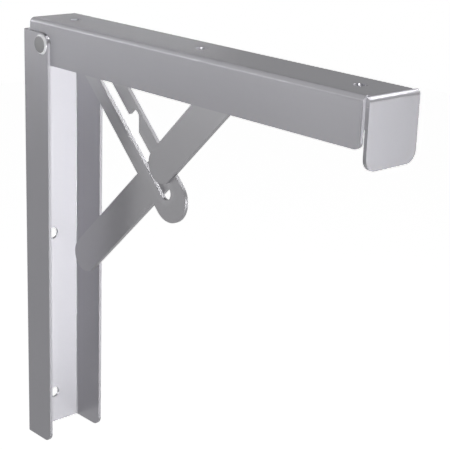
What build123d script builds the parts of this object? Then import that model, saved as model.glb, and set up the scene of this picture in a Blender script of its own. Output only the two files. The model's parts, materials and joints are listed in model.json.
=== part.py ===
from build123d import *
import math
import os

# Folding shelf bracket: a wall rail, an arm that folds down into it, a two-piece strut
# and a slotted latch link that holds the strut's knee. Millimetres.
# +X points away from the wall, +Y to the far side and +Z up. The origin is on the wall
# face, at the middle screw hole of the rail.

# Sheet and plate
sheet = 2.3
bend_inside = 1.2
plate = 3.0
plate_play = 0.05
running_fit = 0.05

# Wall rail
rail_height = 300.0
rail_width = 46.2
rail_depth = 29.3
rail_foot_round = 6.5
wall_hole_radius = 4.0
wall_hole_spacing = 126.0
wall_hole_count = 3

# Main pivot
pivot_x = 22.3
pivot_below_rail_top = 7.6
pivot_shank_radius = 4.0
pivot_sleeve_radius = 6.5
pivot_washer_radius = 6.9
washer_play = 0.05

# Rivet heads that stand proud of the rail
head_radius = 7.0
head_height = 1.8
head_edge = 0.4
head_flat_radius = 4.4

# Shelf arm
arm_side_gap = 0.6
arm_height = 29.3
arm_above_rail = 8.0
arm_rear_x = 5.1
arm_front_x = 305.8
arm_rear_round = 12.0
arm_front_round = 4.5
shelf_hole_radius = 4.0
shelf_hole_first_x = 29.5
shelf_hole_from_front = 20.3
shelf_hole_count = 3

# End tab
tab_gap = 2.4
tab_drop = 40.4
tab_round = 7.5

# Strut
strut_width = 24.4
lower_pivot_x = 20.3
lower_pivot_above_foot = 135.4
lower_knee_tail = 7.6
upper_knee_tail = 9.4
upper_rise = 45.0
strut_pin_radius = 3.5
strut_spacer_radius = 6.5
upper_sleeve_radius = 6.0
notch_centre_from_pivot = 156.6
notch_centre_below_pivot = 7.5
notch_side_gap = 1.0
flush_head_radius = 5.5
flush_head_depth = 1.4

# Latch link
link_slope = 44.2
link_width = 32.2
link_length = 131.0
link_head_radius = 12.9
link_right_shoulder = 51.0
link_left_shoulder = 18.0
slot_width = 10.0
slot_start = 28.0
slot_end = 126.0
knee_along = 111.5
catch_along = 70.7
notch_offset = 8.9
notch_radius = 4.5
roller_radius = 4.2

# Places worked out from the sizes above
rail_top = rail_height / 2
rail_foot = -rail_height / 2
rail_top_round = rail_depth - pivot_x
pivot_z = rail_top - pivot_below_rail_top
arm_width = rail_width - 2 * sheet - 2 * arm_side_gap
arm_top = rail_top + arm_above_rail
arm_foot = arm_top - arm_height
tab_back_x = arm_front_x + tab_gap
tab_front_x = tab_back_x + sheet
bend_outside = bend_inside + sheet
shelf_hole_last_x = arm_front_x - shelf_hole_from_front
shelf_hole_spacing = (shelf_hole_last_x - shelf_hole_first_x) / (shelf_hole_count - 1)
lower_pivot_z = rail_foot + lower_pivot_above_foot

link_cos = math.cos(math.radians(link_slope))
link_sin = math.sin(math.radians(link_slope))
knee_x = pivot_x + knee_along * link_cos + notch_offset * link_sin
knee_z = pivot_z - knee_along * link_sin + notch_offset * link_cos
lower_length = math.hypot(knee_x - lower_pivot_x, knee_z - lower_pivot_z)
lower_rise = math.degrees(math.atan2(knee_z - lower_pivot_z, knee_x - lower_pivot_x))
upper_length = (pivot_z - knee_z) / math.sin(math.radians(upper_rise))
upper_pivot_x = knee_x + upper_length * math.cos(math.radians(upper_rise))
upper_pivot_z = pivot_z

# Layers across the width, from the far side inwards
rail_outside = rail_width / 2
rail_inside = rail_outside - sheet
arm_outside = arm_width / 2
arm_inside = arm_outside - sheet
lower_far = arm_inside - 3 * plate_play
lower_near = lower_far - plate
link_far = lower_near - plate_play
link_near = link_far - plate
upper_far = link_near - plate_play
upper_near = upper_far - plate


def cross_pin(x, z, y_from, y_to, radius):
    """A round pin along Y between two places across the bracket."""
    middle = (y_from + y_to) / 2
    return Pos(x, middle, z) * Rot(90, 0, 0) * Cylinder(radius, abs(y_to - y_from))


def cross_ring(x, z, y_from, y_to, radius, bore_radius):
    """A sleeve or washer along Y."""
    ring = cross_pin(x, z, y_from, y_to, radius)
    return ring - cross_pin(x, z, y_from - 1, y_to + 1, bore_radius)


def flush_head(x, z, y_face, inward, grow):
    """The cone of a flush rivet end at y_face; inward is +1 or -1, grow widens it for the hole."""
    cone = Cone(strut_pin_radius + grow, flush_head_radius + grow, flush_head_depth)
    middle = y_face + inward * flush_head_depth / 2
    return Pos(x, middle, z) * Rot(90 * inward, 0, 0) * cone


def proud_head(x, z, y_face, outward):
    """A low domed head that sits on y_face and points outward, +1 or -1."""
    top = Line((0, head_height), (head_flat_radius, head_height))
    bevel = TangentArc((head_flat_radius, head_height), (head_radius, head_edge), tangent=(1, 0))
    side = Polyline((head_radius, head_edge), (head_radius, 0), (0, 0), (0, head_height))
    profile = make_face([top, bevel, *side.edges()])
    head = revolve(Plane.XZ * profile, Axis.Z, 360)
    return Pos(x, y_face, z) * Rot(-90 * outward, 0, 0) * head


def channel_profile(width, depth):
    """The section of a folded channel: web along local X, flanges towards local +Y."""
    half = width / 2
    inside = half - sheet
    outer = [(-half, depth), (-half, 0), (half, 0), (half, depth)]
    inner = [(inside, depth), (inside, sheet), (-inside, sheet), (-inside, depth)]
    face = make_face(Polyline(*outer, *inner, close=True))
    face = fillet(face.vertices().filter_by_position(Axis.Y, -0.01, 0.01), bend_outside)
    corners = face.vertices().filter_by_position(Axis.Y, sheet - 0.01, sheet + 0.01)
    corners = corners.filter_by_position(Axis.X, -inside - 0.01, inside + 0.01)
    return fillet(corners, bend_inside)


def corner_waste(x, z, radius, toward_x, toward_z, width):
    """What a rounded corner takes off the flanges; x, z is the centre of the round."""
    block = Box(radius + 1, width, radius + 1)
    shift = (radius + 1) / 2
    block = Pos(x + toward_x * shift, 0, z + toward_z * shift) * block
    return block - cross_pin(x, z, -width, width, radius)


def wall_rail():
    profile = channel_profile(rail_width, rail_depth)
    rail = Pos(0, 0, rail_foot) * Rot(0, 0, -90) * extrude(profile, rail_height)
    width = rail_width + 2
    rail -= corner_waste(pivot_x, rail_top - rail_top_round, rail_top_round, 1, 1, width)
    foot_x = rail_depth - rail_foot_round
    rail -= corner_waste(foot_x, rail_foot + rail_foot_round, rail_foot_round, 1, -1, width)
    for index in range(wall_hole_count):
        z = (index - (wall_hole_count - 1) / 2) * wall_hole_spacing
        rail -= Pos(sheet / 2, 0, z) * Rot(0, 90, 0) * Cylinder(wall_hole_radius, 3 * sheet)
    rail -= cross_pin(pivot_x, pivot_z, -width, width, pivot_shank_radius + running_fit)
    rail -= cross_pin(lower_pivot_x, lower_pivot_z, 0, width, strut_pin_radius + running_fit)
    return rail


def end_tab():
    """The tab at the arm's tip, bent down from the web, with its relief notches."""
    start = arm_front_x - 2 * bend_outside
    web = Pos((start + tab_front_x) / 2, 0, arm_top - sheet / 2)
    web *= Box(tab_front_x - start, arm_width, sheet)
    drop = Pos(tab_front_x - sheet / 2, 0, arm_top - tab_drop / 2) * Box(sheet, arm_width, tab_drop)
    tab = web + drop
    along_y = tab.edges().filter_by(Axis.Y)
    outer = along_y.filter_by_position(Axis.X, tab_front_x - 0.01, tab_front_x + 0.01)
    outer = outer.filter_by_position(Axis.Z, arm_top - 0.01, arm_top + 0.01)
    inner = along_y.filter_by_position(Axis.X, tab_back_x - 0.01, tab_back_x + 0.01)
    inner = inner.filter_by_position(Axis.Z, arm_top - sheet - 0.01, arm_top - sheet + 0.01)
    tab = fillet(outer, bend_outside)
    tab = fillet(tab.edges().filter_by(Axis.Y).sort_by_distance(inner.edge().center())[0], bend_inside)
    corners = tab.edges().filter_by(Axis.X).group_by(Axis.Z)[0]
    tab = fillet(corners, tab_round)
    side = start + (arm_front_x - start) / 2
    for y in (-arm_outside, arm_outside):
        tab -= Pos(side, y, arm_top) * Box(arm_front_x - start, 2 * bend_outside, 3 * sheet)
        tab -= Pos(arm_front_x + tab_gap / 2, y, arm_top) * Box(tab_gap, 2 * bend_outside, 3 * sheet)
    return tab


def shelf_arm():
    profile = channel_profile(arm_width, arm_height)
    body = extrude(profile, arm_front_x - arm_rear_x)
    arm = Pos(arm_rear_x, 0, arm_top) * Rot(0, 90, 0) * Rot(0, 0, -90) * body
    arm += end_tab()
    width = arm_width + 2
    rear_x = arm_rear_x + arm_rear_round
    arm -= corner_waste(rear_x, arm_foot + arm_rear_round, arm_rear_round, -1, -1, width)
    front_x = arm_front_x - arm_front_round
    front_z = arm_foot + arm_front_round
    front = corner_waste(front_x, front_z, arm_front_round, 1, -1, width)
    arm -= front
    for index in range(shelf_hole_count):
        x = shelf_hole_first_x + index * shelf_hole_spacing
        arm -= Pos(x, 0, arm_top) * Cylinder(shelf_hole_radius, 4 * sheet)
    arm -= cross_pin(pivot_x, pivot_z, -width, width, pivot_shank_radius + running_fit)
    arm -= cross_pin(upper_pivot_x, upper_pivot_z, -width, 0, strut_pin_radius + running_fit)
    arm -= flush_head(upper_pivot_x, upper_pivot_z, -arm_outside, 1, running_fit)
    return arm - spacer_notch()


def spacer_notch():
    """The notch in the far flange that drops over the lower strut's spacer when folded."""
    x = pivot_x + notch_centre_from_pivot
    z = pivot_z - notch_centre_below_pivot
    radius = strut_spacer_radius + notch_side_gap
    notch = cross_pin(x, z, 0, arm_width, radius)
    depth = z - arm_foot + radius
    return notch + Pos(x, arm_width / 2, z - depth / 2) * Box(2 * radius, arm_width, depth)


def strap(length, tail_start, tail_end):
    """A flat bar between two pivots, the first at the local origin, with full round ends."""
    start = strut_width / 2 - tail_start
    end = length + tail_end - strut_width / 2
    outline = Pos((start + end) / 2, 0) * SlotCenterToCenter(end - start, strut_width)
    return extrude(outline, plate)


def stand_up(solid, x, y_far, z, rise):
    """Stand a plate drawn flat into the XZ plane, its far face at y_far, turned up by rise."""
    return Pos(x, y_far, z) * Rot(0, -rise, 0) * Rot(90, 0, 0) * solid


def lower_strut():
    bar = strap(lower_length, strut_width / 2, lower_knee_tail)
    bar = stand_up(bar, lower_pivot_x, lower_far, lower_pivot_z, lower_rise)
    hole = strut_pin_radius + running_fit
    bar -= cross_pin(lower_pivot_x, lower_pivot_z, lower_near - 1, lower_far + 1, hole)
    bar -= flush_head(lower_pivot_x, lower_pivot_z, lower_near, 1, running_fit)
    bar -= cross_pin(knee_x, knee_z, lower_near - 1, lower_far + 1, hole)
    return bar - flush_head(knee_x, knee_z, lower_far, -1, running_fit)


def upper_strut():
    bar = strap(upper_length, upper_knee_tail, strut_width / 2)
    bar = stand_up(bar, knee_x, upper_far, knee_z, upper_rise)
    hole = strut_pin_radius + running_fit
    bar -= cross_pin(upper_pivot_x, upper_pivot_z, upper_near - 1, upper_far + 1, hole)
    bar -= flush_head(upper_pivot_x, upper_pivot_z, upper_far, -1, running_fit)
    bar -= cross_pin(knee_x, knee_z, upper_near - 1, upper_far + 1, hole)
    return bar - flush_head(knee_x, knee_z, upper_near, 1, running_fit)


def touch_point(radius, x, y, turn):
    """Where the line from x, y touches a circle about the local origin, on the side turn."""
    angle = math.atan2(y, x) + turn * math.acos(radius / math.hypot(x, y))
    return (radius * math.cos(angle), radius * math.sin(angle))


def link_outline():
    half = link_width / 2
    right = touch_point(link_head_radius, link_right_shoulder, half, 1)
    left = touch_point(link_head_radius, link_left_shoulder, -half, -1)
    tip = ThreePointArc((link_length, half), (link_length + half, 0), (link_length, -half))
    head = ThreePointArc(left, (-link_head_radius, 0), right)
    right_side = Polyline(right, (link_right_shoulder, half), (link_length, half))
    left_side = Polyline((link_length, -half), (link_left_shoulder, -half), left)
    return make_face([*right_side.edges(), tip, *left_side.edges(), head])


def notch_outline(along):
    """A catch notch in the slot's side: square towards the pivot, sloped towards the tip."""
    wall = slot_width / 2
    step = notch_radius * math.cos(math.radians(45))
    slope_x = along + step
    slope_y = notch_offset + step
    arc_top = (along, notch_offset + notch_radius)
    first = Line((along - notch_radius, 0), (along - notch_radius, notch_offset))
    corner = ThreePointArc((along - notch_radius, notch_offset), (along - step, slope_y), arc_top)
    middle = (along + notch_radius * math.sin(math.radians(22.5)),
              notch_offset + notch_radius * math.cos(math.radians(22.5)))
    round_over = ThreePointArc(arc_top, middle, (slope_x, slope_y))
    end_x = slope_x + slope_y - wall
    last = Polyline((slope_x, slope_y), (end_x, wall), (end_x, 0), (along - notch_radius, 0))
    return make_face([first, corner, round_over, *last.edges()])


def latch_link():
    outline = link_outline() - Circle(pivot_shank_radius + running_fit)
    slot = SlotCenterToCenter(slot_end - slot_start, slot_width)
    outline -= Pos((slot_start + slot_end) / 2, 0) * slot
    for along in (catch_along, knee_along):
        outline -= notch_outline(along)
    link = extrude(outline, plate)
    return stand_up(link, pivot_x, link_far, pivot_z, -link_slope)


def main_pivot_rivet():
    rivet = cross_pin(pivot_x, pivot_z, -rail_outside, rail_outside, pivot_shank_radius)
    rivet += proud_head(pivot_x, pivot_z, -rail_outside, -1)
    return rivet + proud_head(pivot_x, pivot_z, rail_outside, 1)


def pivot_ring(y_from, y_to, radius):
    bore = pivot_shank_radius + running_fit
    return cross_ring(pivot_x, pivot_z, y_from, y_to, radius, bore)


def lower_strut_rivet():
    x = lower_pivot_x
    z = lower_pivot_z
    rivet = cross_pin(x, z, lower_near, rail_outside, strut_pin_radius)
    rivet += flush_head(x, z, lower_near, 1, 0)
    return rivet + proud_head(x, z, rail_outside, 1)


def lower_strut_spacer():
    bore = strut_pin_radius + running_fit
    x = lower_pivot_x
    return cross_ring(x, lower_pivot_z, lower_far, rail_inside, strut_spacer_radius, bore)


def upper_strut_rivet():
    x = upper_pivot_x
    z = upper_pivot_z
    rivet = cross_pin(x, z, -arm_outside, upper_far, strut_pin_radius)
    rivet += flush_head(x, z, -arm_outside, 1, 0)
    return rivet + flush_head(x, z, upper_far, -1, 0)


def upper_strut_sleeve():
    bore = strut_pin_radius + running_fit
    x = upper_pivot_x
    return cross_ring(x, upper_pivot_z, -arm_inside, upper_near, upper_sleeve_radius, bore)


def knee_rivet_near():
    rivet = cross_pin(knee_x, knee_z, upper_near, upper_far, strut_pin_radius)
    return rivet + flush_head(knee_x, knee_z, upper_near, 1, 0)


def knee_rivet_far():
    rivet = cross_pin(knee_x, knee_z, lower_near, lower_far, strut_pin_radius)
    return rivet + flush_head(knee_x, knee_z, lower_far, -1, 0)


def knee_roller():
    return cross_pin(knee_x, knee_z, link_near, link_far, roller_radius)


pieces = {
    "wall_rail": wall_rail(),
    "shelf_arm": shelf_arm(),
    "lower_strut": lower_strut(),
    "upper_strut": upper_strut(),
    "latch_link": latch_link(),
    "main_pivot_rivet": main_pivot_rivet(),
    "pivot_sleeve_near": pivot_ring(-arm_inside, link_near, pivot_sleeve_radius),
    "pivot_sleeve_far": pivot_ring(link_far, arm_inside, pivot_sleeve_radius),
    "pivot_washer_near": pivot_ring(-rail_inside, -arm_outside - washer_play, pivot_washer_radius),
    "pivot_washer_far": pivot_ring(arm_outside + washer_play, rail_inside, pivot_washer_radius),
    "lower_strut_rivet": lower_strut_rivet(),
    "lower_strut_spacer": lower_strut_spacer(),
    "upper_strut_rivet": upper_strut_rivet(),
    "upper_strut_sleeve": upper_strut_sleeve(),
    "knee_rivet_near": knee_rivet_near(),
    "knee_rivet_far": knee_rivet_far(),
    "knee_roller": knee_roller(),
}

os.makedirs("parts", exist_ok=True)
for name, solid in pieces.items():
    export_step(solid, f"parts/{name}.step")
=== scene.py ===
import json
import math
import bpy
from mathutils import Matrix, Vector
from bpy.props import FloatProperty, FloatVectorProperty, IntProperty, PointerProperty


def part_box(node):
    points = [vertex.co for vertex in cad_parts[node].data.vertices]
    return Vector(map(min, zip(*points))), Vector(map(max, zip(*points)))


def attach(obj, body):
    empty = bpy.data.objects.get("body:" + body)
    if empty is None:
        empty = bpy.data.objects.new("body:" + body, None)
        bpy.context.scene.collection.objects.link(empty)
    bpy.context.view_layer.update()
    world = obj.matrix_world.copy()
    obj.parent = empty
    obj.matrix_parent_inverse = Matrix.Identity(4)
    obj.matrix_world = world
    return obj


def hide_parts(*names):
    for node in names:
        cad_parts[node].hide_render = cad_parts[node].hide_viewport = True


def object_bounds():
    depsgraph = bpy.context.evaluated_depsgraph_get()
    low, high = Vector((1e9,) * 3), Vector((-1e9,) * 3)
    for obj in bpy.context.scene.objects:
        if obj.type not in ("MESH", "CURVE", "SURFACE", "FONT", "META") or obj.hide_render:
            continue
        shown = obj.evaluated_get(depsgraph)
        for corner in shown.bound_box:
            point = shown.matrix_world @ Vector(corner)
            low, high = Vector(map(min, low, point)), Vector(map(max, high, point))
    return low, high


bl_info = {
    "name": "Folding shelf bracket",
    "version": (1, 0, 0),
    "blender": (4, 5, 0),
    "location": "View3D > Sidebar > Bracket",
    "description": "Finishes the folding shelf bracket and sets its studio",
    "category": "Object",
}

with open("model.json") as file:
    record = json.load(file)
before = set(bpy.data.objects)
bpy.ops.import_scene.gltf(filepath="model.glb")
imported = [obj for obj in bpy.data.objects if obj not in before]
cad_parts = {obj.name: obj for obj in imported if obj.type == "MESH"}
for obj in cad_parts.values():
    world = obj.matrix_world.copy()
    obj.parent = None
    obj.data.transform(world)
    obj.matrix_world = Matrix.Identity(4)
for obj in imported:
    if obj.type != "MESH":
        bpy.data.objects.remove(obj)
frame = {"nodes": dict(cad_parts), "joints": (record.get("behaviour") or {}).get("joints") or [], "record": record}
cad_low, cad_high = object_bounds()

# The main pivot, from which the latch link's slot is measured, and the arm's far upper corner
pivot = Vector(frame["joints"][0]["pos_m"])
arm_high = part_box("shelf_arm")[1]

# How far the latch link and the struts slope from level at rest
link_slope = math.radians(44.2)
strut_slope = math.radians(44.6)

# Soft steps, each from where it starts to where it is complete. The first three are shares of a
# face's normal, the others are metres.
edge_on = (0.35, 0.65)
end_on = (0.6, 0.8)
turned_away = (0.88, 0.97)
bend_depth = (0.005, 0.006)
tab_start = (0.006, 0.004)
track_side = (0.0068, 0.0084)
track_start = (0.020, 0.026)
track_end = (0.130, 0.136)

# Sizes of the cloud and mottle in the steel, as the scale of their noise
cloud_scale = 22.0
mottle_scale = 420.0

# How much the patterns, the sheared edges, the worn track and the bends change the steel's tone,
# roughness and metallic share
cloud_tone = 0.06
cloud_gloss = 0.03
mottle_tone = 0.02
grain_gloss = 0.012
cut_gloss = 0.05
track_tone = 0.05
track_gloss = 0.07
track_sheen = 0.08
bend_gloss = 0.04

# The fine relief of grain and mottle, in metres where it is a depth
relief_strength = 0.035
relief_depth = 0.0001
mottle_relief = 0.6

# How packed corners are merged and flat faces joined, and which edges are deburred or shaded sharp
merge_distance = 0.000002
flat_angle = math.radians(0.3)
deburr_angle = math.radians(50)
smooth_angle = math.radians(40)

BODY_OF = {
    node: body
    for body, nodes in frame["record"]["behaviour"]["bodies"].items()
    for node in nodes
}
SLOT_OF = {part["node"]: part["material_slot"] for part in frame["record"]["subparts"]}

# Each soft lamp: its name, azimuth and elevation in degrees, distance, width and height in
# metres, and the studio setting that holds its brightness
SOFTBOXES = (
    ("right softbox", 37, -13, 3.0, 0.9, 1.8, "right_level"),
    ("high softbox", 72, 47, 1.8, 1.0, 0.8, "high_level"),
    ("front softbox", 325, -14, 3.0, 1.2, 1.2, "front_level"),
    ("left softbox", 220, -1, 1.8, 1.2, 0.35, "left_level"),
    ("left strip", 218, 19, 1.8, 1.0, 0.4, "left_strip_level"),
    ("end softbox", 234, -8, 1.8, 0.4, 0.5, "end_level"),
    ("rear softbox", 150, 10, 1.8, 0.8, 0.8, "rear_level"),
)


class Wire:
    """One output in a shader tree. Arithmetic on it adds the Math nodes."""

    def __init__(self, finish, socket):
        self.finish = finish
        self.socket = socket

    def math(self, operation, *values):
        return self.finish.add("ShaderNodeMath", {"operation": operation}, dict(enumerate(values)))

    def __add__(self, other):
        return self.math("ADD", self, other)

    def __radd__(self, other):
        return self.math("ADD", other, self)

    def __sub__(self, other):
        return self.math("SUBTRACT", self, other)

    def __rsub__(self, other):
        return self.math("SUBTRACT", other, self)

    def __mul__(self, other):
        return self.math("MULTIPLY", self, other)

    def __rmul__(self, other):
        return self.math("MULTIPLY", other, self)

    def __abs__(self):
        return self.math("ABSOLUTE", self)

    def most(self, other):
        return self.math("MAXIMUM", self, other)

    def above(self, low, high):
        """0 below low, 1 above high, smooth between."""
        step = {"Value": self, "From Min": low, "From Max": high}
        return self.finish.add("ShaderNodeMapRange", {"interpolation_type": "SMOOTHSTEP"}, step)

    def below(self, low, high):
        """1 below low, 0 above high, smooth between."""
        return 1 - self.above(low, high)


class Finish:
    """The shader tree of a material or of the sky, under construction."""

    def __init__(self, owner, output="ShaderNodeOutputMaterial"):
        owner.use_nodes = True
        self.owner = owner
        self.tree = owner.node_tree
        self.tree.nodes.clear()
        self.output = self.tree.nodes.new(output)

    def add(self, kind, settings=None, inputs=None, out=0):
        """Add one node: its settings first, then the values or wires of its sockets."""
        node = self.tree.nodes.new(kind)
        for name, value in (settings or {}).items():
            setattr(node, name, value)
        for name, value in (inputs or {}).items():
            if isinstance(value, Wire):
                self.tree.links.new(value.socket, node.inputs[name])
            else:
                node.inputs[name].default_value = value
        return Wire(self, node.outputs[out])

    def background_rays(self):
        """1 for a ray that shows the background itself or mirrors it, 0 for one that lights."""
        camera = self.add("ShaderNodeLightPath", out="Is Camera Ray")
        glossy = self.add("ShaderNodeLightPath", out="Is Glossy Ray")
        through = self.add("ShaderNodeLightPath", out="Is Transmission Ray")
        return camera + glossy + through

    def close(self, surface):
        self.tree.links.new(surface.socket, self.output.inputs["Surface"])
        return self.owner


class SteelSettings(bpy.types.PropertyGroup):
    """Colours and sizes of the steel finish."""

    sheet_colour: FloatVectorProperty(
        name="Sheet colour", description="Satin sheet of the rail and the arm",
        subtype="COLOR", size=3, min=0, max=1, default=(0.42, 0.416, 0.442))
    strut_colour: FloatVectorProperty(
        name="Strut colour", description="Flat bars and latch link",
        subtype="COLOR", size=3, min=0, max=1, default=(0.47, 0.466, 0.485))
    rivet_colour: FloatVectorProperty(
        name="Rivet colour", description="Rivets, sleeves and washers",
        subtype="COLOR", size=3, min=0, max=1, default=(0.25, 0.25, 0.257))
    roughness: FloatProperty(
        name="Roughness", description="Mean roughness of the satin steel",
        min=0.05, max=1, default=0.26)
    metallic: FloatProperty(
        name="Metallic", description="Share of the bare metal's mirror in the zinc skin",
        min=0, max=1, default=0.3)
    rivet_metallic: FloatProperty(
        name="Rivet metallic", description="The same share on the bright rivets",
        min=0, max=1, default=0.4)
    cut_dulling: FloatProperty(
        name="Cut dulling", description="How much darker sheared edges are",
        min=0, max=1, default=0.28)
    cut_sheen: FloatProperty(
        name="Cut sheen", description="How much more metallic sheared edges are",
        min=0, max=1, default=0.06)
    # Where this is above 0, bends and rounded edges are also painted lighter, a painted highlight
    bend_sheen: FloatProperty(
        name="Bend sheen", description="How much more metallic bends and rounded edges are",
        min=0, max=1, default=0.3)
    rim_sheen: FloatProperty(
        name="Rim sheen", description="How much more metallic the rivet heads' rims are",
        min=0, max=1, default=0.5)
    # A painted highlight: how much lighter the rivet heads' rims are painted
    rim_painted_highlight: FloatProperty(
        name="Rim polish", description="How much lighter the rivet heads' rims are",
        min=0, max=3, default=1.5)
    grain_depth: FloatProperty(
        name="Grain depth", description="How much the grain changes the tone",
        min=0, max=1, default=0.014)
    grain_pitch: FloatProperty(
        name="Grain pitch", description="Width of one line of the rolled grain",
        subtype="DISTANCE", unit="LENGTH", default=0.0007)
    grain_length: FloatProperty(
        name="Grain length", description="Length of one line of the rolled grain",
        subtype="DISTANCE", unit="LENGTH", default=0.03)
    edge_round: FloatProperty(
        name="Edge round", description="Width of the deburred edges",
        subtype="DISTANCE", unit="LENGTH", default=0.00028)
    edge_steps: IntProperty(
        name="Edge steps", description="Faces across a deburred edge",
        min=1, max=4, default=2)


class StudioSettings(bpy.types.PropertyGroup):
    """Floor, lamps and camera."""

    floor_drop: FloatProperty(
        name="Floor drop", description="Height from the floor up to the middle screw",
        subtype="DISTANCE", unit="LENGTH", default=1.6)
    floor_size: FloatProperty(
        name="Floor size", description="Side of the floor",
        subtype="DISTANCE", unit="LENGTH", default=14.0)
    right_level: FloatProperty(
        name="Right softbox", description="Brightness that the right softbox gives a white face",
        min=0, max=8, default=0.315)
    high_level: FloatProperty(
        name="High softbox", description="Brightness that the high softbox gives a white face",
        min=0, max=8, default=0.238)
    front_level: FloatProperty(
        name="Front softbox", description="Brightness that the front softbox gives a white face",
        min=0, max=8, default=0.265)
    left_level: FloatProperty(
        name="Left softbox", description="Brightness that the left softbox gives a white face",
        min=0, max=8, default=0.066)
    left_strip_level: FloatProperty(
        name="Left strip", description="Brightness that the left strip gives a white face",
        min=0, max=8, default=0.12)
    end_level: FloatProperty(
        name="End softbox", description="Brightness that the end softbox gives a white face",
        min=0, max=8, default=0.022)
    rear_level: FloatProperty(
        name="Rear softbox", description="Brightness that the rear softbox gives a white face",
        min=0, max=8, default=0.038)
    fill_level: FloatProperty(
        name="Fill level", description="Strength of the sky on matt surfaces",
        min=0, max=2, default=0.03)
    floor_lift: FloatProperty(
        name="Floor lift", description="White added to the floor as it is seen",
        min=0, max=1, default=0.96)
    camera_place: FloatVectorProperty(
        name="Camera place", description="Where the camera stands",
        subtype="TRANSLATION", size=3, default=(0.7354, -0.5144, 0.2934))
    camera_turn: FloatVectorProperty(
        name="Camera turn", description="How the camera is turned",
        subtype="EULER", size=3, default=(1.26214, -0.0342, 0.83129))
    camera_lens: FloatProperty(
        name="Lens", description="Focal length on a 36 mm frame",
        min=10, max=400, default=103.31)


def rail_cuts(at, facing):
    """Sheared edges of the rail: flange fronts, rounded tips, ends and punched holes."""
    flange = abs(facing[1]).below(*edge_on) * at[0].above(*bend_depth)
    web = abs(facing[2]).above(*end_on) * at[0].below(*bend_depth)
    return flange + web


def arm_cuts(at, facing):
    """Sheared edges of the arm: under the flanges, round the tab and at the rear end."""
    start, end = bend_depth
    below_web = at[2].below(arm_high.z - end, arm_high.z - start)
    behind_tab = at[0].below(arm_high.x - end, arm_high.x - start)
    flange = abs(facing[1]).below(*edge_on) * behind_tab
    tab = abs(facing[0]).below(*edge_on) * (1 - behind_tab)
    return (flange + tab) * below_web


def arm_lay(finish, at):
    """Where the arm's sheet lay before folding, so that its grain turns down with the tab."""
    start, end = tab_start
    tab = at[0].above(arm_high.x - start, arm_high.x - end)
    flat = {"X": at[0] - at[2], "Y": at[1], "Z": at[2] * (1 - tab)}
    return finish.add("ShaderNodeCombineXYZ", None, flat)


def plate_cuts(at, facing):
    """Sheared edges of an upright plate: all that does not face along its rivets."""
    return abs(facing[1]).below(*edge_on)


def slot_track(at, facing):
    """The burnished track that the knee rivet's head leaves on both sides of the link's slot."""
    out = at[0] - pivot.x
    up = at[2] - pivot.z
    along = out * math.cos(link_slope) - up * math.sin(link_slope)
    across = out * math.sin(link_slope) + up * math.cos(link_slope)
    return abs(across).below(*track_side) * along.above(*track_start) * along.below(*track_end)


def steel_finish(name, base, grain_turn, metallic, settings,
                 cuts=None, track=None, lay=None, burnish=0.0, painted_highlight=0.15):
    """Satin rolled steel, made once by name.

    grain_turn turns the grain about Y, away from X. cuts and track give the sheared edges and
    the worn track, and lay gives where the sheet lay before folding. burnish is how much more
    metallic the steel is where it turns from one face to the next, and the last argument is how
    much lighter its colour is painted there: a painted highlight on bends and rounded edges.
    """
    if name in bpy.data.materials:
        return bpy.data.materials[name]
    finish = Finish(bpy.data.materials.new(name))
    place = finish.add("ShaderNodeTexCoord", out="Object")
    normal = finish.add("ShaderNodeTexCoord", out="Normal")
    at = [finish.add("ShaderNodeSeparateXYZ", None, {"Vector": place}, out=axis)
          for axis in range(3)]
    facing = [finish.add("ShaderNodeSeparateXYZ", None, {"Vector": normal}, out=axis)
              for axis in range(3)]

    # Rolled grain along the sheet, and cloud and mottle all over it
    lined = finish.add("ShaderNodeMapping", {"vector_type": "TEXTURE"}, {
        "Vector": lay(finish, at) if lay else place,
        "Rotation": (0, grain_turn, 0),
        "Scale": (settings.grain_length, settings.grain_pitch, settings.grain_pitch),
    })
    grain = finish.add("ShaderNodeTexNoise", None, {
        "Vector": lined, "Scale": 1.0, "Detail": 3.0, "Roughness": 0.55})
    cloud = finish.add("ShaderNodeTexNoise", None, {
        "Vector": place, "Scale": cloud_scale, "Detail": 3.0, "Roughness": 0.5})
    mottle = finish.add("ShaderNodeTexNoise", None, {
        "Vector": place, "Scale": mottle_scale, "Detail": 2.0})
    grain_swing = grain - 0.5
    cloud_swing = cloud - 0.5
    tone = 1 + cloud_swing * cloud_tone + grain_swing * settings.grain_depth
    tone = tone + (mottle - 0.5) * mottle_tone
    gloss = settings.roughness + grain_swing * grain_gloss + cloud_swing * cloud_gloss
    sheen = metallic

    if cuts:
        cut = cuts(at, facing)
        tone = tone * (1 - cut * settings.cut_dulling)
        gloss = gloss + cut * cut_gloss
        sheen = sheen + cut * settings.cut_sheen
    if track:
        worn = track(at, facing)
        tone = tone * (1 + worn * track_tone)
        gloss = gloss - worn * track_gloss
        sheen = sheen + worn * track_sheen
    # Bends and rounded edges are more metallic and smoother, as burnished, and their colour is painted lighter as
    # a painted highlight
    if burnish:
        largest = abs(facing[0]).most(abs(facing[1])).most(abs(facing[2]))
        turned = largest.below(*turned_away)
        tone = tone * (1 + turned * painted_highlight)
        gloss = gloss - turned * bend_gloss
        sheen = sheen + turned * burnish

    tint = finish.add("ShaderNodeCombineColor", None, {
        "Red": tone * base[0], "Green": tone * base[1], "Blue": tone * base[2]})
    relief = finish.add("ShaderNodeBump", None, {
        "Strength": relief_strength, "Distance": relief_depth,
        "Height": grain + mottle * mottle_relief})
    return finish.close(finish.add("ShaderNodeBsdfPrincipled", None, {
        "Base Color": tint, "Roughness": gloss, "Metallic": sheen,
        "Specular IOR Level": 0.0, "Normal": relief}))


def rail_finish(settings):
    return steel_finish(
        "satin sheet, grain upright", settings.sheet_colour, math.radians(90),
        settings.metallic, settings, rail_cuts, burnish=settings.bend_sheen)


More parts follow.
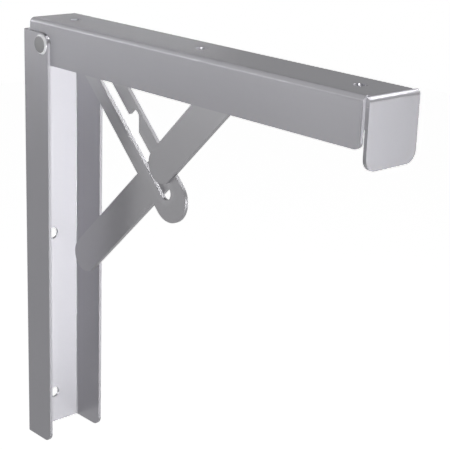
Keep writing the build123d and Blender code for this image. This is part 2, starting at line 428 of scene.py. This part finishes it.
def arm_finish(settings):
    return steel_finish(
        "satin sheet, grain along", settings.sheet_colour, 0.0,
        settings.metallic, settings, arm_cuts, lay=arm_lay, burnish=settings.bend_sheen)


def strut_finish(settings):
    return steel_finish(
        "satin plate, strut", settings.strut_colour, -strut_slope,
        settings.metallic, settings, plate_cuts)


def link_finish(settings):
    return steel_finish(
        "satin plate, link", settings.strut_colour, link_slope,
        settings.metallic, settings, plate_cuts, slot_track)


def rivet_finish(settings):
    # The heads' rims are more metallic, and their colour is painted much lighter as a painted highlight
    return steel_finish(
        "turned rivet steel", settings.rivet_colour, math.radians(90),
        settings.rivet_metallic, settings, burnish=settings.rim_sheen,
        painted_highlight=settings.rim_painted_highlight)


def softened(node, piece_name, settings):
    """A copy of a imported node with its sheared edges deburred. It replaces the node."""
    bpy.ops.object.select_all(action="DESELECT")
    mesh = frame["nodes"][node].data.copy()
    mesh.name = piece_name
    piece = bpy.data.objects.new(piece_name, mesh)
    bpy.context.scene.collection.objects.link(piece)
    piece.select_set(True)
    bpy.context.view_layer.objects.active = piece
    bpy.ops.mesh.customdata_custom_splitnormals_clear()
    bpy.ops.object.mode_set(mode="EDIT")
    bpy.ops.mesh.select_all(action="SELECT")
    bpy.ops.mesh.remove_doubles(threshold=merge_distance)
    bpy.ops.mesh.dissolve_limited(angle_limit=flat_angle)
    bpy.ops.object.mode_set(mode="OBJECT")
    bevel = piece.modifiers.new("deburred edges", "BEVEL")
    bevel.width = settings.edge_round
    bevel.segments = settings.edge_steps
    bevel.limit_method = "ANGLE"
    bevel.angle_limit = deburr_angle
    bpy.ops.object.modifier_apply(modifier=bevel.name)
    bpy.ops.object.shade_smooth_by_angle(angle=smooth_angle)
    weighted = piece.modifiers.new("flat faces stay flat", "WEIGHTED_NORMAL")
    weighted.keep_sharp = True
    bpy.ops.object.modifier_apply(modifier=weighted.name)
    piece.select_set(False)
    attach(piece, BODY_OF[node])
    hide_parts(node)
    return piece


def dress(piece, material):
    """Give a piece one material all over."""
    piece.data.materials.clear()
    piece.data.materials.append(material)
    for face in piece.data.polygons:
        face.material_index = 0


class BRACKET_OT_rail(bpy.types.Operator):
    """Finish the wall rail"""

    bl_idname = "bracket.rail"
    bl_label = "Wall rail"

    def execute(self, context):
        steel = context.scene.bracket_steel
        rail = softened("wall_rail", "rail_channel", steel)
        dress(rail, rail_finish(steel))
        return {"FINISHED"}


class BRACKET_OT_arm(bpy.types.Operator):
    """Finish the shelf arm"""

    bl_idname = "bracket.arm"
    bl_label = "Shelf arm"

    def execute(self, context):
        steel = context.scene.bracket_steel
        arm = softened("shelf_arm", "arm_channel", steel)
        dress(arm, arm_finish(steel))
        return {"FINISHED"}


class BRACKET_OT_struts(bpy.types.Operator):
    """Finish the two halves of the strut"""

    bl_idname = "bracket.struts"
    bl_label = "Struts"

    def execute(self, context):
        steel = context.scene.bracket_steel
        for node, name in (("lower_strut", "strut_lower_bar"), ("upper_strut", "strut_upper_bar")):
            dress(softened(node, name, steel), strut_finish(steel))
        return {"FINISHED"}


class BRACKET_OT_link(bpy.types.Operator):
    """Finish the latch link"""

    bl_idname = "bracket.link"
    bl_label = "Latch link"

    def execute(self, context):
        steel = context.scene.bracket_steel
        link = softened("latch_link", "link_plate", steel)
        dress(link, link_finish(steel))
        return {"FINISHED"}


class BRACKET_OT_rivets(bpy.types.Operator):
    """Finish the rivets, sleeves, washers and the knee roller"""

    bl_idname = "bracket.rivets"
    bl_label = "Rivets and sleeves"

    def execute(self, context):
        steel = context.scene.bracket_steel
        # These are ground level with the piece that they end in and share its finish
        flush = {
            "lower_strut_rivet": strut_finish,
            "upper_strut_rivet": arm_finish,
            "knee_rivet_near": strut_finish,
        }
        for node in frame["nodes"]:
            if SLOT_OF[node] == "rivet_steel":
                dress(frame["nodes"][node], flush.get(node, rivet_finish)(steel))
        return {"FINISHED"}


def softbox(name, azimuth, elevation, distance, width, height, level):
    """A soft lamp aimed at the bracket. level is how bright it makes a matt white face."""
    lamp = bpy.data.lights.new(name, "AREA")
    lamp.shape = "RECTANGLE"
    lamp.size = width
    lamp.size_y = height
    lamp.energy = level * (math.pi * distance) ** 2
    # Without shadows, a lamp is even only where its own samples alone are used
    lamp.use_shadow = False
    lamp.cycles.use_multiple_importance_sampling = False
    turn = math.radians(azimuth)
    rise = math.radians(elevation)
    flat = math.cos(rise)
    away = Vector((flat * math.cos(turn), flat * math.sin(turn), math.sin(rise)))
    stand = bpy.data.objects.new(name, lamp)
    bpy.context.scene.collection.objects.link(stand)
    stand.location = (cad_low + cad_high) / 2 + away * distance
    stand.rotation_euler = away.to_track_quat("Z", "Y").to_euler()
    stand.visible_camera = False


class BRACKET_OT_studio(bpy.types.Operator):
    """Set the floor, the lamps, the sky and the camera"""

    bl_idname = "bracket.studio"
    bl_label = "Studio"

    def execute(self, context):
        studio = context.scene.bracket_studio
        self.floor(studio)
        self.sky(context.scene, studio)
        for *lamp, setting in SOFTBOXES:
            softbox(*lamp, getattr(studio, setting))
        self.camera(context.scene, studio)
        context.scene.view_settings.view_transform = "Standard"
        return {"FINISHED"}

    def floor(self, studio):
        """A matt floor that is seen as white and keeps its shadow."""
        bpy.ops.object.select_all(action="DESELECT")
        bpy.ops.mesh.primitive_plane_add(
            size=studio.floor_size, location=(0, 0, -studio.floor_drop))
        floor = bpy.context.active_object
        floor.name = "studio_floor"
        finish = Finish(bpy.data.materials.new("pale floor"))
        matt = finish.add("ShaderNodeBsdfDiffuse", None, {"Color": (0.9, 0.9, 0.9, 1)})
        lift = finish.add("ShaderNodeEmission", None, {
            "Color": (1, 1, 1, 1), "Strength": finish.background_rays() * studio.floor_lift})
        dress(floor, finish.close(finish.add("ShaderNodeAddShader", None, {0: matt, 1: lift})))

    def sky(self, scene, studio):
        """White where it is seen or mirrored, and dim where it lights."""
        finish = Finish(bpy.data.worlds.new("studio sky"), "ShaderNodeOutputWorld")
        strength = finish.add("ShaderNodeMapRange", None, {
            "Value": finish.background_rays(), "To Min": studio.fill_level, "To Max": 1.0})
        scene.world = finish.close(finish.add("ShaderNodeBackground", None, {
            "Color": (1, 1, 1, 1), "Strength": strength}))

    def camera(self, scene, studio):
        """The camera at the photograph's viewing angle."""
        data = bpy.data.cameras.new("photo camera")
        data.lens = studio.camera_lens
        data.sensor_width = 36.0
        data.clip_end = 60.0
        camera = bpy.data.objects.new("photo_camera", data)
        scene.collection.objects.link(camera)
        camera.location = studio.camera_place
        camera.rotation_euler = studio.camera_turn
        scene.camera = camera


class BRACKET_PT_panel(bpy.types.Panel):
    """The bracket's settings and steps, in order"""

    bl_idname = "BRACKET_PT_panel"
    bl_label = "Folding bracket"
    bl_space_type = "VIEW_3D"
    bl_region_type = "UI"
    bl_category = "Bracket"

    def draw(self, context):
        for settings in (context.scene.bracket_steel, context.scene.bracket_studio):
            for name in settings.__annotations__:
                self.layout.prop(settings, name)
        for step in STEPS:
            self.layout.operator(step.bl_idname)


STEPS = (
    BRACKET_OT_rail,
    BRACKET_OT_arm,
    BRACKET_OT_struts,
    BRACKET_OT_link,
    BRACKET_OT_rivets,
    BRACKET_OT_studio,
)
CLASSES = (SteelSettings, StudioSettings, *STEPS, BRACKET_PT_panel)


def register():
    for kind in CLASSES:
        bpy.utils.register_class(kind)
    bpy.types.Scene.bracket_steel = PointerProperty(type=SteelSettings)
    bpy.types.Scene.bracket_studio = PointerProperty(type=StudioSettings)


def unregister():
    del bpy.types.Scene.bracket_studio
    del bpy.types.Scene.bracket_steel
    for kind in reversed(CLASSES):
        bpy.utils.unregister_class(kind)


def main():
    register()
    bpy.ops.bracket.rail()
    bpy.ops.bracket.arm()
    bpy.ops.bracket.struts()
    bpy.ops.bracket.link()
    bpy.ops.bracket.rivets()
    bpy.ops.bracket.studio()


if __name__ == "__main__":
    main()
